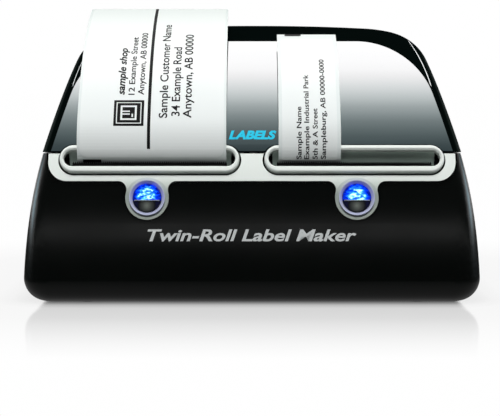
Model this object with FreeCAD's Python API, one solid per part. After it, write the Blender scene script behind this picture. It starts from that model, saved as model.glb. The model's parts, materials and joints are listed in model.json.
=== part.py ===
import FreeCAD, Part
import math
import os

os.makedirs("parts", exist_ok=True)
V = FreeCAD.Vector

# Twin-roll label maker. Millimetres; front is -Y, right is +X, up is +Z.
# The origin is on the table under the middle of the machine.

# ---- casing ----
FOOT_H = 2.0
BODY_TOP = 72.4            # top rim of the base
COVER_LOW = 73.0           # lower edge of the cover
WALL = 2.4                 # base wall
COVER_WALL = 2.2
REAR_Y = 90.0              # rear wall of the base
BELLY_Z = 14.0             # height where the base is widest and furthest forward
BODY_ARC_R = 158.9         # front of the base, seen from the side
BODY_ARC_Y = 64.9
SIDE_ARC_R = 310.0         # flanks of the base, seen from the front
SIDE_ARC_Z = -6.0          # height of the middle of those arcs
HALF_WIDTH = 109.65        # half-width of the base at that height
FLANK_LEAN = 15.85         # degrees, flanks of the cover
COVER_HALF_LOW = 99.75     # half-width of the cover at its lower edge
COVER_FRONT_R = 100.5      # front and rear arcs of the cover, seen from the side
COVER_REAR_R = 78.5
COVER_TOP_Y = 10.84        # where the two arcs meet
COVER_TOP_Z = 136.6
CROWN_Z = 136.25           # middle of the cover's top, seen from the front
CROWN_R = 900.0
CROWN_ANGLE = 3.78         # degrees of slope where the crown ends
HAUNCH_R = 60.0
HAUNCH_ANGLE = 16.0        # degrees of slope where the shoulder starts
CORNER_LOW_R = 14.0        # corner rounding of the base at the bottom
CORNER_TOP_R = 6.0         # corner rounding of the base at the rim
SOLE_ROUND = 11.0
COVER_ROUND = 5.0

# ---- front trim ----
BEZEL_T = 1.6
BEZEL_HALF = 96.25
BEZEL_LOW = 59.7
BEZEL_CORNER_R = 9.0
TAB_R = 10.2               # round tab about each button
TAB_FILLET_R = 4.0
GROOVE = 0.9               # dark gap between the trim and the casing
LIP_W = 0.9                # raised lip of the casing along that gap
LIP_H = 0.3
RECESS_W = 1.9             # shallow recess of the trim around each slot ring
RECESS_T = 0.3
RING_SEAM = 0.9            # gap between a slot ring and the trim
DISH_DEPTH = 0.9           # conical dish of the trim around each button
DISH_SLOPE = 1.9           # widening of the dish per unit of depth
BUTTON_X = 49.3
BUTTON_Z = 52.0
BUTTON_RING_R = 8.4
BUTTON_R = 6.7
BUTTON_TRAVEL = 0.8
LENS_LINE = -1.4           # the button is split this far below its centre

# ---- label slots ----
SLOT_X = 48.3
SLOT_Z = 69.6
RING_W = 84.8
RING_H = 13.3
RING_PROUD = 2.5
OPEN_W = 81.0
OPEN_H = 8.0
OPEN_UP = 0.25             # the opening sits this much above the ring's centre
RING_GAP = 0.7             # gap between the ring and the cover
TOOTH_PITCH = 1.0          # serrated tear bar inside the opening
TOOTH_TIP = -0.8
TOOTH_ROOT = -1.8
TEAR_BAR_DEPTH = 0.2
TEAR_BAR_T = 0.5

# ---- cover panel ----
PANEL_T = 1.0
PANEL_TOP = 126.9
PANEL_CORNER_R = 36.0
PANEL_MARGIN = 4.3

# ---- label web ----
STRIP_SPAN = {"left": (-82.6, -12.1), "right": (12.6, 42.0)}
STRIP_BEND = {"left": (120.5, 72.0), "right": (102.0, 63.7)}   # upper arc: radius, end lean
WEB_T = 0.25
STICKER_T = 0.12
STICKER_MARGIN = 1.2
WEB_LEAN = -43.3           # lean of the web between the nip and the slot
SLOT_TURN = (-82.2, 68.7)  # y, z where the web starts to bend into the slot
NIP_RUN = 21.0             # from there down to the nip
LOWER_BEND_R = 10.0
MIDDLE_BEND_R = 28.0
MIDDLE_LEAN = 30.0
STICKER_START_LEAN = -34.0 # the sticker starts just inside the slot
UNDER_R = 12.0             # radius of the web under the feed unit
PAST_NIP = 25.5            # from the slot down to that bend

# ---- roll bay ----
ROLL_Y = 20.0
ROLL_Z = 68.0
ROLL_R = {"left": 42.0, "right": 38.0}
WELL_R = 50.0
WELL_X = (6.5, 94.0)
TRAY_T = 2.2
SADDLE_TOP = 75.0          # posts that carry the spindle ends
FLANGE_R = 24.0            # discs on both sides of a roll
FLANGE_T = 1.8
GUIDE_HUB_R = 15.5
DECK_Z = (66.0, 68.4)
SPLIT_Y = -44.0            # between the front deck and the roll tray
SPINDLE_R = 12.3
SPINDLE_END_R = 4.0
RUN_GAP = 0.05             # radial clearance of running fits

# ---- feed unit ----
PLATEN_R = 6.0
PLATEN_SHAFT_R = 2.5
MODULE = 0.7
PLATEN_TEETH = 20
IDLER_TEETH = 30
PINION_TEETH = 12
MESH_SLACK = 0.15
PRESSURE_ANGLE = 20.0
GEAR_X = (93.5, 97.5)
IDLER_DIRECTION = -70.8    # degrees, from the platen to the idler gear
PINION_DIRECTION = -68.9   # degrees, from the idler gear to the motor pinion
PLATE_X = ((4.5, 6.5), (90.5, 92.5))   # side plates of a feed unit
MOTOR_R = 12.0
HEAD_PIVOT = (-3.0, -11.5)             # in the nip frame: depth, along the web
LEVER_PIVOT = (-56.0, 47.0)
LEVER_X = (1.3, 3.9)
LEVER_L = 30.0
LEVER_LEAN = 14.0          # degrees
SPRING_X = (28.0, 69.0)

# ---- hinge ----
HINGE_Y = 90.5
HINGE_Z = 72.0
KNUCKLE_R = 3.5
HINGE_PIN_R = 1.5
KNUCKLES = [(52.0, 59.7, "base"), (60.0, 72.0, "cover"), (72.3, 80.0, "base")]

# ---- sole, screws and sockets ----
SOLE_X = 90.0              # half-width of the opening in the underside
SOLE_Y = (-76.0, 74.0)
PLATE_T = 2.4
BOSSES = [(94.8, -38.5), (94.8, 78.0)]         # screw posts for the tray, each side
BOSS_R = 3.0
SOLE_SCREWS = [(-50.0, 20.0), (50.0, 20.0), (0.0, -24.0), (0.0, 46.0)]
SCREW_R = 1.3
BOARD_POSTS = [(-54.0, 58.0), (54.0, 58.0), (-54.0, 70.0), (54.0, 70.0)]
FEET = [(-80.0, -66.0), (80.0, -66.0), (-80.0, 64.0), (80.0, 64.0)]
FOOT_R = 6.5
PORT_Z = 10.6              # top of the circuit board
USB_X = -28.0
POWER_X = 8.0
SOCKET_H = 11.0
VENT_X = 44.0              # first of the rear vents
VENT_PITCH = 5.0
VENT_W = 2.2
VENT_COUNT = 9

SIDES = {"left": -1, "right": 1}
FAR = 240.0


# ---------------- small helpers ----------------
def box(x0, x1, y0, y1, z0, z1):
    return Part.makeBox(x1 - x0, y1 - y0, z1 - z0, V(x0, y0, z0))


def cyl_x(x0, x1, y, z, r):
    low, high = min(x0, x1), max(x0, x1)
    return Part.makeCylinder(r, high - low, V(low, y, z), V(1, 0, 0))


def cyl_y(x, z, y0, y1, r):
    return Part.makeCylinder(r, y1 - y0, V(x, y0, z), V(0, 1, 0))


def cyl_z(x, y, z0, z1, r):
    return Part.makeCylinder(r, z1 - z0, V(x, y, z0), V(0, 0, 1))


def side_box(side, x0, x1, y0, y1, z0, z1):
    """A box whose x limits are counted outwards from the middle of the machine."""
    if side > 0:
        return box(x0, x1, y0, y1, z0, z1)
    return box(-x1, -x0, y0, y1, z0, z1)


def join(shapes):
    result = shapes[0]
    for shape in shapes[1:]:
        result = result.fuse(shape)
    return result.removeSplitter()


def lean_to(shape, y, z, lean):
    """Tilt a shape drawn on the XZ plane, outside towards -Y, back onto a leaning face."""
    placed = shape.copy()
    placed.rotate(V(0, 0, 0), V(1, 0, 0), -lean)
    placed.translate(V(0, y, z))
    return placed


def save(name, shape):
    if not shape.isValid():
        print("INVALID", name)
    solids = shape.Solids
    volume = sum(solid.Volume for solid in solids)
    print("%-22s solids %d  volume %.0f" % (name, len(solids), volume))
    shape.exportStep("parts/%s.step" % name)


def arc_edge(centre, radius, start, end, plane):
    """Arc between two angles; plane 'yz' or 'xz'. Returns the edge and its two end points."""
    points = []
    for angle in (start, (start + end) / 2, end):
        a = centre[0] + radius * math.cos(math.radians(angle))
        b = centre[1] + radius * math.sin(math.radians(angle))
        points.append(V(0, a, b) if plane == "yz" else V(a, 0, b))
    return Part.Arc(*points).toShape(), points[0], points[2]


def line_edge(a, b):
    return Part.makeLine(a, b)


# ---------------- outer shape ----------------
def front_y(z):
    """Y of the front face of the base at height z."""
    if z <= BELLY_Z:
        return BODY_ARC_Y - BODY_ARC_R
    return BODY_ARC_Y - math.sqrt(BODY_ARC_R ** 2 - (z - BELLY_Z) ** 2)


def front_lean(z):
    return math.degrees(math.asin((z - BELLY_Z) / BODY_ARC_R))


def body_block(inset):
    """The base as a full block, drawn in by inset on every side."""
    bottom = FOOT_H + inset
    radius = BODY_ARC_R - inset
    rise = BODY_TOP - BELLY_Z
    top_angle = 180 - math.degrees(math.asin(rise / radius))
    arc, low, high = arc_edge((BODY_ARC_Y, BELLY_Z), radius, 180, top_angle, "yz")
    rear_top = V(0, REAR_Y - inset, BODY_TOP)
    rear_low = V(0, REAR_Y - inset, bottom)
    front_low = V(0, low.y, bottom)
    wire = Part.Wire([line_edge(front_low, low), arc, line_edge(high, rear_top),
                      line_edge(rear_top, rear_low), line_edge(rear_low, front_low)])
    profile = Part.Face(wire).extrude(V(FAR, 0, 0))
    profile.translate(V(-FAR / 2, 0, 0))

    centre = HALF_WIDTH - SIDE_ARC_R
    radius = SIDE_ARC_R - inset
    low_angle = math.degrees(math.asin((bottom - SIDE_ARC_Z) / radius))
    high_angle = math.degrees(math.asin((BODY_TOP - SIDE_ARC_Z) / radius))
    right, right_low, right_high = arc_edge((centre, SIDE_ARC_Z), radius, low_angle, high_angle, "xz")
    left, left_high, left_low = arc_edge((-centre, SIDE_ARC_Z), radius, 180 - high_angle,
                                         180 - low_angle, "xz")
    wire = Part.Wire([right, line_edge(right_high, left_high), left, line_edge(left_low, right_low)])
    outline = Part.Face(wire).extrude(V(0, FAR, 0))
    outline.translate(V(0, -FAR / 2, 0))
    block = profile.common(outline).removeSplitter()

    corners = [e for e in block.Edges if e.BoundBox.ZLength > 40]
    block = block.makeFillet(CORNER_LOW_R - inset, CORNER_TOP_R - inset, corners)
    sole = [e for e in block.Edges if e.BoundBox.ZMax < bottom + 0.1]
    return block.makeFillet(SOLE_ROUND - inset, sole)


def flank_constant():
    lean = math.radians(FLANK_LEAN)
    return COVER_HALF_LOW * math.cos(lean) + COVER_LOW * math.sin(lean)


def crown_face(low, inset):
    """Front outline of the cover: leaning flanks, round shoulders, haunches and a slight crown."""
    lean = math.radians(FLANK_LEAN)
    crown = math.radians(CROWN_ANGLE)
    haunch = math.radians(HAUNCH_ANGLE)
    crown_centre = CROWN_Z - CROWN_R
    haunch_x = (CROWN_R - HAUNCH_R) * math.sin(crown)
    haunch_z = crown_centre + (CROWN_R - HAUNCH_R) * math.cos(crown)
    turn_x = haunch_x + HAUNCH_R * math.sin(haunch)
    turn_z = haunch_z + HAUNCH_R * math.cos(haunch)
    spare = flank_constant() - turn_x * math.cos(lean) - turn_z * math.sin(lean)
    shoulder_r = spare / (1 - math.sin(haunch + lean))
    shoulder_x = turn_x - shoulder_r * math.sin(haunch)
    shoulder_z = turn_z - shoulder_r * math.cos(haunch)

    half = (flank_constant() - inset - low * math.sin(lean)) / math.cos(lean)
    top, _, _ = arc_edge((0, crown_centre), CROWN_R - inset, 90 - CROWN_ANGLE, 90 + CROWN_ANGLE, "xz")
    edges = [top, line_edge(V(half, 0, low), V(-half, 0, low))]
    for side in SIDES.values():
        bends = [(haunch_x, haunch_z, HAUNCH_R, 90 - CROWN_ANGLE, 90 - HAUNCH_ANGLE),
                 (shoulder_x, shoulder_z, shoulder_r, 90 - HAUNCH_ANGLE, FLANK_LEAN)]
        for x, z, radius, start, end in bends:
            if side < 0:
                start, end = 180 - start, 180 - end
            bend, _, last = arc_edge((side * x, z), radius - inset, start, end, "xz")
            edges.append(bend)
        edges.append(line_edge(last, V(side * half, 0, low)))
    face = Part.Face(Part.Wire(Part.__sortEdges__(edges)))
    face.translate(V(0, -FAR / 2, 0))
    return face


def arch_face(low, top, margin, corner_r, plane_y=0.0):
    """Front outline of the panel: leaning flanks, a flat top and rounded corners."""
    lean = math.radians(FLANK_LEAN)
    reach = flank_constant() - margin
    zc = top - corner_r
    xc = (reach - corner_r - zc * math.sin(lean)) / math.cos(lean)
    right, a, b = arc_edge((xc, zc), corner_r, FLANK_LEAN, 90, "xz")
    left, c, d = arc_edge((-xc, zc), corner_r, 90, 180 - FLANK_LEAN, "xz")
    half = (reach - low * math.sin(lean)) / math.cos(lean)
    right_low = V(half, 0, low)
    left_low = V(-half, 0, low)
    wire = Part.Wire([line_edge(right_low, a), right, line_edge(b, c), left,
                      line_edge(d, left_low), line_edge(left_low, right_low)])
    face = Part.Face(wire)
    face.translate(V(0, plane_y, 0))
    return face


def cover_block(inset, low):
    """The cover as a full block, drawn in by inset, down to height low."""
    front_r = COVER_FRONT_R - inset
    rear_r = COVER_REAR_R - inset
    front_z = COVER_TOP_Z - COVER_FRONT_R
    rear_z = COVER_TOP_Z - COVER_REAR_R
    start = 180 - math.degrees(math.asin((low - front_z) / front_r))
    end = math.degrees(math.asin((low - rear_z) / rear_r))
    front, p0, _ = arc_edge((COVER_TOP_Y, front_z), front_r, start, 90, "yz")
    rear, _, q1 = arc_edge((COVER_TOP_Y, rear_z), rear_r, 90, end, "yz")
    profile = Part.Face(Part.Wire([front, rear, line_edge(q1, p0)])).extrude(V(FAR, 0, 0))
    profile.translate(V(-FAR / 2, 0, 0))
    outline = crown_face(low, inset)
    block = profile.common(outline.extrude(V(0, FAR, 0)))
    rims = [e for e in block.Edges if e.BoundBox.ZLength > 1 and e.BoundBox.YLength > 3]
    return block.makeFillet(COVER_ROUND - inset, rims)


def stadium(width, height, depth_out, depth_in, up=0.0):
    """Flat slot-shaped slab about x=0, from depth_out proud of the face to depth_in behind it."""
    r = height / 2
    half = width / 2 - r
    length = depth_out + depth_in
    slab = box(-half, half, -depth_out, depth_in, up - r, up + r)
    left = cyl_y(-half, up, -depth_out, -depth_out + length, r)
    right = cyl_y(half, up, -depth_out, -depth_out + length, r)
    return join([slab, left, right])


def on_slot(shape, side):
    placed = lean_to(shape, front_y(SLOT_Z), SLOT_Z, front_lean(SLOT_Z))
    placed.translate(V(side * SLOT_X, 0, 0))
    return placed


def on_button(shape, side):
    placed = lean_to(shape, front_y(BUTTON_Z), BUTTON_Z, front_lean(BUTTON_Z))
    placed.translate(V(side * BUTTON_X, 0, 0))
    return placed


# ---------------- front trim ----------------
def bezel_prism(grow):
    """Outline of the silver trim: a band with two round tabs, grown outwards by grow."""
    half = BEZEL_HALF + grow
    low = BEZEL_LOW - grow
    corner = BEZEL_CORNER_R + grow
    tab = TAB_R + grow
    web = TAB_FILLET_R - grow
    reach = math.sqrt((tab + web) ** 2 - (low - web - BUTTON_Z) ** 2)
    fall = math.degrees(math.atan2(low - web - BUTTON_Z, reach))
    top = BODY_TOP + 5
    edges = []
    right_top = V(half, 0, top)
    left_top = V(-half, 0, top)
    corner_right, cr0, cr1 = arc_edge((half - corner, low + corner), corner, 0, -90, "xz")
    corner_left, cl0, cl1 = arc_edge((-half + corner, low + corner), corner, 270, 180, "xz")
    edges += [line_edge(left_top, right_top), line_edge(right_top, cr0), corner_right]
    last = cr1
    for centre in (BUTTON_X, -BUTTON_X):
        outer, o0, o1 = arc_edge((centre + reach, low - web), web, 90, 180 + fall, "xz")
        bowl, _, _ = arc_edge((centre, BUTTON_Z), tab, fall, -180 - fall, "xz")
        inner, _, i1 = arc_edge((centre - reach, low - web), web, -fall, 90, "xz")
        edges += [line_edge(last, o0), outer, bowl, inner]
        last = i1
    edges += [line_edge(last, cl0), corner_left, line_edge(cl1, left_top)]
    face = Part.Face(Part.Wire(Part.__sortEdges__(edges)))
    face.translate(V(0, -FAR / 2, 0))
    return face.extrude(V(0, FAR / 2 + front_y(BODY_TOP) + 12, 0))


def slot_hole(gap):
    """Slot-shaped cutter that leaves a gap around a slot ring."""
    return stadium(RING_W + 2 * gap, RING_H + 2 * gap, 9, 9)


def button_hole(side, radius):
    return on_button(cyl_y(0, 0, -6, 8, radius), side)


def front_bezel(outer):
    layer = outer.cut(body_block(BEZEL_T))
    skin = outer.cut(body_block(RECESS_T))
    bezel = layer.common(bezel_prism(0.0))
    low_r = BUTTON_RING_R + 0.1
    rise = 1.5                                  # the dish tool starts this far in front
    high_r = low_r + DISH_SLOPE * (DISH_DEPTH + rise)
    for side in SIDES.values():
        bezel = bezel.cut(on_slot(slot_hole(RING_SEAM), side))
        bezel = bezel.cut(skin.common(on_slot(slot_hole(RECESS_W), side)))
        dish = Part.makeCone(high_r, low_r, DISH_DEPTH + rise, V(0, -rise, 0), V(0, 1, 0))
        bezel = bezel.cut(on_button(dish, side))
        bezel = bezel.cut(button_hole(side, BUTTON_RING_R))
    return bezel


def slot_ring(side):
    ring = stadium(RING_W, RING_H, RING_PROUD, BEZEL_T)
    rim = [e for e in ring.Edges if e.BoundBox.YMax < -RING_PROUD + 0.01]
    ring = ring.makeFillet(1.0, rim)
    ring = ring.cut(stadium(OPEN_W, OPEN_H, 9, 9, OPEN_UP))
    mouth = [e for e in ring.Edges if e.BoundBox.YMax < -RING_PROUD + 0.01
             and abs(e.CenterOfMass.z - OPEN_UP) < OPEN_H / 2 + 0.01
             and e.BoundBox.XMax <= OPEN_W / 2 + 0.01 and e.BoundBox.XMin >= -OPEN_W / 2 - 0.01]
    ring = ring.makeChamfer(0.7, mouth)
    return on_slot(ring, side)


def tear_bar(side):
    """Serrated steel strip that stands on the lower lip of the slot."""
    half = (OPEN_W - OPEN_H) / 2
    low = OPEN_UP - OPEN_H / 2
    count = int(2 * half / TOOTH_PITCH)
    outline = [(-half, low), (-half, TOOTH_ROOT)]
    for k in range(count):
        x = -half + k * TOOTH_PITCH
        outline.append((x + TOOTH_PITCH / 2, TOOTH_TIP))
        outline.append((x + TOOTH_PITCH, TOOTH_ROOT))
    outline += [(half, low), (-half, low)]
    points = [V(x, TEAR_BAR_DEPTH, up) for x, up in outline]
    bar = Part.Face(Part.makePolygon(points)).extrude(V(0, TEAR_BAR_T, 0))
    return on_slot(bar, side)


def exit_chute(side):
    """Sloped glossy wall behind the slot that turns the label upwards."""
    half = OPEN_W / 2 - 2.0
    section = [(4.4, 1.65), (5.6, 1.65), (5.6, 8.5), (-0.5, 8.5), (-1.3, 7.2)]
    points = [V(-half, depth, up) for up, depth in section]
    face = Part.Face(Part.makePolygon(points + points[:1]))
    return on_slot(face.extrude(V(2 * half, 0, 0)), side)


def button_ring(side):
    """Chromed ring whose face slopes inwards like a shallow cone."""
    bore = BUTTON_R + 0.2
    ring = cyl_y(0, 0, -0.7, 4.0, BUTTON_RING_R).cut(cyl_y(0, 0, -6, 8, bore))
    slope = Part.makeCone(BUTTON_RING_R - 0.35, bore, 1.2, V(0, -0.7, 0), V(0, 1, 0))
    return on_button(ring.cut(slope), side)


def button_cap(side):
    disc = cyl_y(0, 0, 0.9, 2.6, BUTTON_R)
    lower = cyl_y(0, 0, -0.5, 0.95, BUTTON_R).common(box(-9, 9, -2, 3, -9, LENS_LINE))
    stem = cyl_y(0, 0, 2.5, 4.1, 2.0)
    return on_button(join([disc, lower, stem]), side)


def button_lens(side):
    lens = cyl_y(0, 0, -0.8, 0.88, BUTTON_R).common(box(-9, 9, -2, 3, LENS_LINE + 0.1, 9))
    front = [e for e in lens.Edges if e.BoundBox.YMax < -0.79]
    return on_button(lens.makeFillet(0.5, front), side)


def tact_switches():
    switches = []
    for side in SIDES.values():
        body = box(-3, 3, 5.6, 8.0, -3, 3)
        plunger = cyl_y(0, 0, 5.0, 5.7, 1.7)
        switches.append(on_button(join([body, plunger]), side))
    return Part.makeCompound(switches)


def button_boards():
    boards = []
    for side in SIDES.values():
        boards.append(on_button(box(-11, 11, 8.0, 9.6, -7, 7), side))
    return Part.makeCompound(boards)


# ---------------- label web ----------------
def web_direction():
    lean = math.radians(WEB_LEAN)
    return -math.sin(lean), -math.cos(lean)      # down the web: back and down


def nip_point():
    dy, dz = web_direction()
    return SLOT_TURN[0] + dy * NIP_RUN, SLOT_TURN[1] + dz * NIP_RUN


def lean_point(centre_y, centre_z, radius, lean, forward):
    """Point of an arc where the web has a given lean; the centre lies behind the web."""
    angle = math.radians(lean)
    r = radius + forward
    return V(0, centre_y - r * math.cos(angle), centre_z + r * math.sin(angle))


def web_edges(name, forward, whole):
    """The web's line, shifted forward; from the slot upwards, or from the roll if whole."""
    reach_r, end_lean = STRIP_BEND[name]
    turn = math.radians(WEB_LEAN)
    c1y = SLOT_TURN[0] + LOWER_BEND_R * math.cos(turn)
    c1z = SLOT_TURN[1] - LOWER_BEND_R * math.sin(turn)
    c2y = c1y - LOWER_BEND_R + MIDDLE_BEND_R
    c2z = c1z
    mid = math.radians(MIDDLE_LEAN)
    c3y = c2y + (reach_r - MIDDLE_BEND_R) * math.cos(mid)
    c3z = c2z - (reach_r - MIDDLE_BEND_R) * math.sin(mid)
    start_lean = WEB_LEAN if whole else STICKER_START_LEAN
    bends = [(c1y, c1z, LOWER_BEND_R, start_lean, 0.0),
             (c2y, c2z, MIDDLE_BEND_R, 0.0, MIDDLE_LEAN),
             (c3y, c3z, reach_r, MIDDLE_LEAN, end_lean)]
    edges = []
    for y, z, r, lean0, lean1 in bends:
        points = [lean_point(y, z, r, lean, forward) for lean in (lean0, (lean0 + lean1) / 2, lean1)]
        edges.append(Part.Arc(*points).toShape())
    if whole:
        edges = lower_edges(name, forward, edges[0].Vertexes[0].Point) + edges
    return edges


def lower_edges(name, forward, top):
    """From the roll's underside, under the feed unit and up through the nip to the slot."""
    dy, dz = web_direction()
    back = V(0, -dz, dy)                       # normal of the web, away from the front
    knee = V(0, SLOT_TURN[0] + dy * PAST_NIP, SLOT_TURN[1] + dz * PAST_NIP)
    centre = knee + back * UNDER_R
    roll = V(0, ROLL_Y, ROLL_Z)
    roll_r = ROLL_R[name] + 0.3
    gap = roll - centre
    heading = math.atan2(gap.z, gap.y) - math.asin((roll_r - UNDER_R) / gap.Length)
    under_r = UNDER_R + forward
    leave_r = roll_r + forward

    def under(angle, middle, radius):
        return middle + V(0, math.sin(angle), -math.cos(angle)) * radius

    knee_heading = math.atan2(dz, dy)
    knee_point = under(knee_heading, centre, under_r)
    middle_point = under((knee_heading + heading) / 2, centre, under_r)
    end_point = under(heading, centre, under_r)
    roll_point = under(heading, roll, leave_r)
    return [line_edge(roll_point, end_point), Part.Arc(end_point, middle_point, knee_point).toShape(),
            line_edge(knee_point, top)]


def web_sheet(name, inner, outer, margin, whole):
    """A thin curved sheet between two offsets of the web's line."""
    back = web_edges(name, inner, whole)
    front = web_edges(name, outer, whole)
    start = line_edge(back[0].Vertexes[0].Point, front[0].Vertexes[0].Point)
    end = line_edge(back[-1].Vertexes[-1].Point, front[-1].Vertexes[-1].Point)
    wire = Part.Wire(Part.__sortEdges__(back + front + [start, end]))
    x0, x1 = STRIP_SPAN[name]
    sheet = Part.Face(wire).extrude(V(x1 - x0 - 2 * margin, 0, 0))
    sheet.translate(V(x0 + margin, 0, 0))
    return sheet


def label_liner(name):
    return web_sheet(name, -WEB_T / 2, WEB_T / 2, 0.0, True)


def label_sticker(name):
    return web_sheet(name, WEB_T / 2, WEB_T / 2 + STICKER_T, STICKER_MARGIN, False)


# ---------------- base ----------------
def base_housing(outer):
    housing = outer.cut(body_block(WALL + 0.6))
    mid_wall = body_block(WALL / 2)
    housing = housing.cut(box(-SOLE_X, SOLE_X, SOLE_Y[0], SOLE_Y[1], -5, 12))
    lip = body_block(-LIP_H).cut(body_block(1.0)).common(bezel_prism(GROOVE + LIP_W))
    housing = housing.fuse(lip)
    housing = housing.cut(body_block(-1.0).cut(body_block(BEZEL_T)).common(bezel_prism(GROOVE)))
    for side in SIDES.values():
        housing = housing.cut(on_slot(stadium(OPEN_W + 1.2, OPEN_H + 1.4, 9, 9, OPEN_UP), side))
        housing = housing.cut(on_slot(box(-OPEN_W / 2 - 0.6, OPEN_W / 2 + 0.6, -9, 9, 0, 12), side))
        housing = housing.cut(button_hole(side, BUTTON_RING_R))
        for x, y in BOSSES:
            post = join([cyl_z(side * x, y, 5.0, DECK_Z[0], BOSS_R),
                         side_box(side, x, x + 15, y - 1.2, y + 1.2, 5.0, DECK_Z[0])])
            housing = housing.fuse(post.common(mid_wall))
            housing = housing.cut(cyl_z(side * x, y, 50, 80, 1.4))
        for x0, x1, owner in KNUCKLES:
            low, high = sorted((side * x0, side * x1))
            if owner == "base":
                web = box(low, high, REAR_Y - 3, HINGE_Y + KNUCKLE_R, 62, HINGE_Z)
                housing = housing.fuse(web.fuse(cyl_x(low, high, HINGE_Y, HINGE_Z, KNUCKLE_R)))
                housing = housing.cut(cyl_x(low - 1, high + 1, HINGE_Y, HINGE_Z, HINGE_PIN_R))
            else:
                housing = housing.cut(box(low - 0.3, high + 0.3, REAR_Y - 4.2, 100, 67.6, 80))
    housing = housing.cut(box(USB_X - 6.2, USB_X + 6.2, 80, 100, PORT_Z - 0.1, PORT_Z + SOCKET_H + 0.2))
    housing = housing.cut(cyl_y(POWER_X, PORT_Z + SOCKET_H / 2, 80, 100, 5.2))
    for k in range(VENT_COUNT):
        x = VENT_X + VENT_PITCH * k
        housing = housing.cut(box(x, x + VENT_W, 80, 100, 16, 34))
    return housing.removeSplitter()


def bottom_plate():
    pieces = [box(-SOLE_X + 0.2, SOLE_X - 0.2, SOLE_Y[0] + 0.2, SOLE_Y[1] - 0.2,
                  FOOT_H, FOOT_H + PLATE_T)]
    for x, y in BOARD_POSTS:
        pieces.append(cyl_z(x, y, FOOT_H + PLATE_T - 0.1, PORT_Z - 1.6, 2.6))
    plate = join(pieces)
    for x, y in SOLE_SCREWS:
        plate = plate.cut(cyl_z(x, y, 0, 10, 1.6))
        plate = plate.cut(cyl_z(x, y, 0, FOOT_H + 1.2, 3.1))
    for row in range(4):
        y = -50.0 + 7.0 * row
        plate = plate.cut(box(-30, 30, y, y + 2.5, 0, 10))
    return plate


def rubber_feet():
    feet = []
    for x, y in FEET:
        foot = cyl_z(x, y, 0, FOOT_H, FOOT_R)
        rim = [e for e in foot.Edges if e.BoundBox.ZMax < 0.01]
        feet.append(foot.makeFillet(0.6, rim))
    return Part.makeCompound(feet)


def housing_screws():
    screws = []
    for x, y in SOLE_SCREWS:
        screws.append(join([cyl_z(x, y, FOOT_H + 0.2, FOOT_H + 1.2, 2.8),
                            cyl_z(x, y, FOOT_H + 1.1, 12.0, SCREW_R)]))
    for side in SIDES.values():
        for x, y in BOSSES:
            shank = cyl_z(side * x, y, 56.0, DECK_Z[1] + 0.1, SCREW_R)
            head = cyl_z(side * x, y, DECK_Z[1], DECK_Z[1] + 1.4, 2.1)
            screws.append(join([shank, head]))
    return Part.makeCompound(screws)


def hinge_pins():
    pins = []
    for side in SIDES.values():
        pins.append(cyl_x(side * 51.0, side * 81.0, HINGE_Y, HINGE_Z, HINGE_PIN_R))
    return Part.makeCompound(pins)


def deck_outline(y0, y1):
    """Slab at deck height that fills the base between its side walls."""
    slab = box(-FAR / 2, FAR / 2, y0, y1, DECK_Z[0], DECK_Z[1])
    return slab.common(body_block(WALL + 0.9))


def roll_tray():
    tray = deck_outline(SPLIT_Y, REAR_Y - 4.4)
    x0, x1 = WELL_X
    keep = box(-FAR / 2, FAR / 2, -FAR / 2, FAR / 2, 0, DECK_Z[1])
    for side in SIDES.values():
        trough = cyl_x(side * (x0 - 2), side * (x1 + 2), ROLL_Y, ROLL_Z, WELL_R + TRAY_T)
        tray = tray.fuse(trough.common(keep))
        for x in (x0 - 2, x1):
            tray = tray.fuse(side_box(side, x, x + 1.7, ROLL_Y - 9, ROLL_Y + 9,
                                      DECK_Z[0], SADDLE_TOP))
    for x, y in SOLE_SCREWS:
        top = 17.0 if abs(x) > 1 else DECK_Z[0] + 0.5
        tray = tray.fuse(cyl_z(x, y, FOOT_H + PLATE_T, top, 3.6))
    for side in SIDES.values():
        tray = tray.cut(cyl_x(side * x0, side * x1, ROLL_Y, ROLL_Z, WELL_R))
        tray = tray.cut(side_box(side, x0 - 3, x1 + 3, ROLL_Y - SPINDLE_END_R - RUN_GAP,
                                 ROLL_Y + SPINDLE_END_R + RUN_GAP, ROLL_Z, 90))
        tray = tray.cut(cyl_x(side * (x0 - 3), side * (x1 + 3), ROLL_Y, ROLL_Z,
                              SPINDLE_END_R + RUN_GAP))
        tray = tray.cut(side_box(side, 8.0, 92.0, -36.0, -8.0, 29.5, 40.0))
        for x, y in BOSSES:
            tray = tray.cut(cyl_z(side * x, y, 60, 80, 1.5))
    for x, y in SOLE_SCREWS:
        tray = tray.cut(cyl_z(x, y, 0, 14.0, SCREW_R))
    return tray.removeSplitter()


def inner_deck():
    deck = deck_outline(-71.5, SPLIT_Y - 0.3)
    deck = deck.cut(box(-4.3, 4.3, -69, -40, 60, 75))
    for side in SIDES.values():
        deck = deck.cut(side_box(side, 10.0, 88.0, -60.0, -57.5, 60, 75))
    return deck


# ---------------- spools ----------------
def spool_spindle(name):
    side = SIDES[name]
    inner = min(abs(x) for x in STRIP_SPAN[name])
    x0, x1 = WELL_X
    core = cyl_x(side * (inner - 2.2), side * (x1 - 1.6), ROLL_Y, ROLL_Z, SPINDLE_R)
    flange = cyl_x(side * (inner - 2.2), side * (inner - 0.3), ROLL_Y, ROLL_Z, FLANGE_R)
    axle = cyl_x(side * (x0 - 1.8), side * (x1 + 1.5), ROLL_Y, ROLL_Z, SPINDLE_END_R)
    spindle = join([core, flange, axle])
    for k in range(4):
        angle = math.radians(45 + 90 * k)
        y = ROLL_Y + 18 * math.cos(angle)
        z = ROLL_Z + 18 * math.sin(angle)
        spindle = spindle.cut(cyl_x(side * (inner - 3), side * inner, y, z, 3.4))
    return spindle


def label_roll(name):
    x0, x1 = STRIP_SPAN[name]
    roll = cyl_x(x0, x1, ROLL_Y, ROLL_Z, ROLL_R[name])
    return roll.cut(cyl_x(x0 - 1, x1 + 1, ROLL_Y, ROLL_Z, SPINDLE_R))


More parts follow.
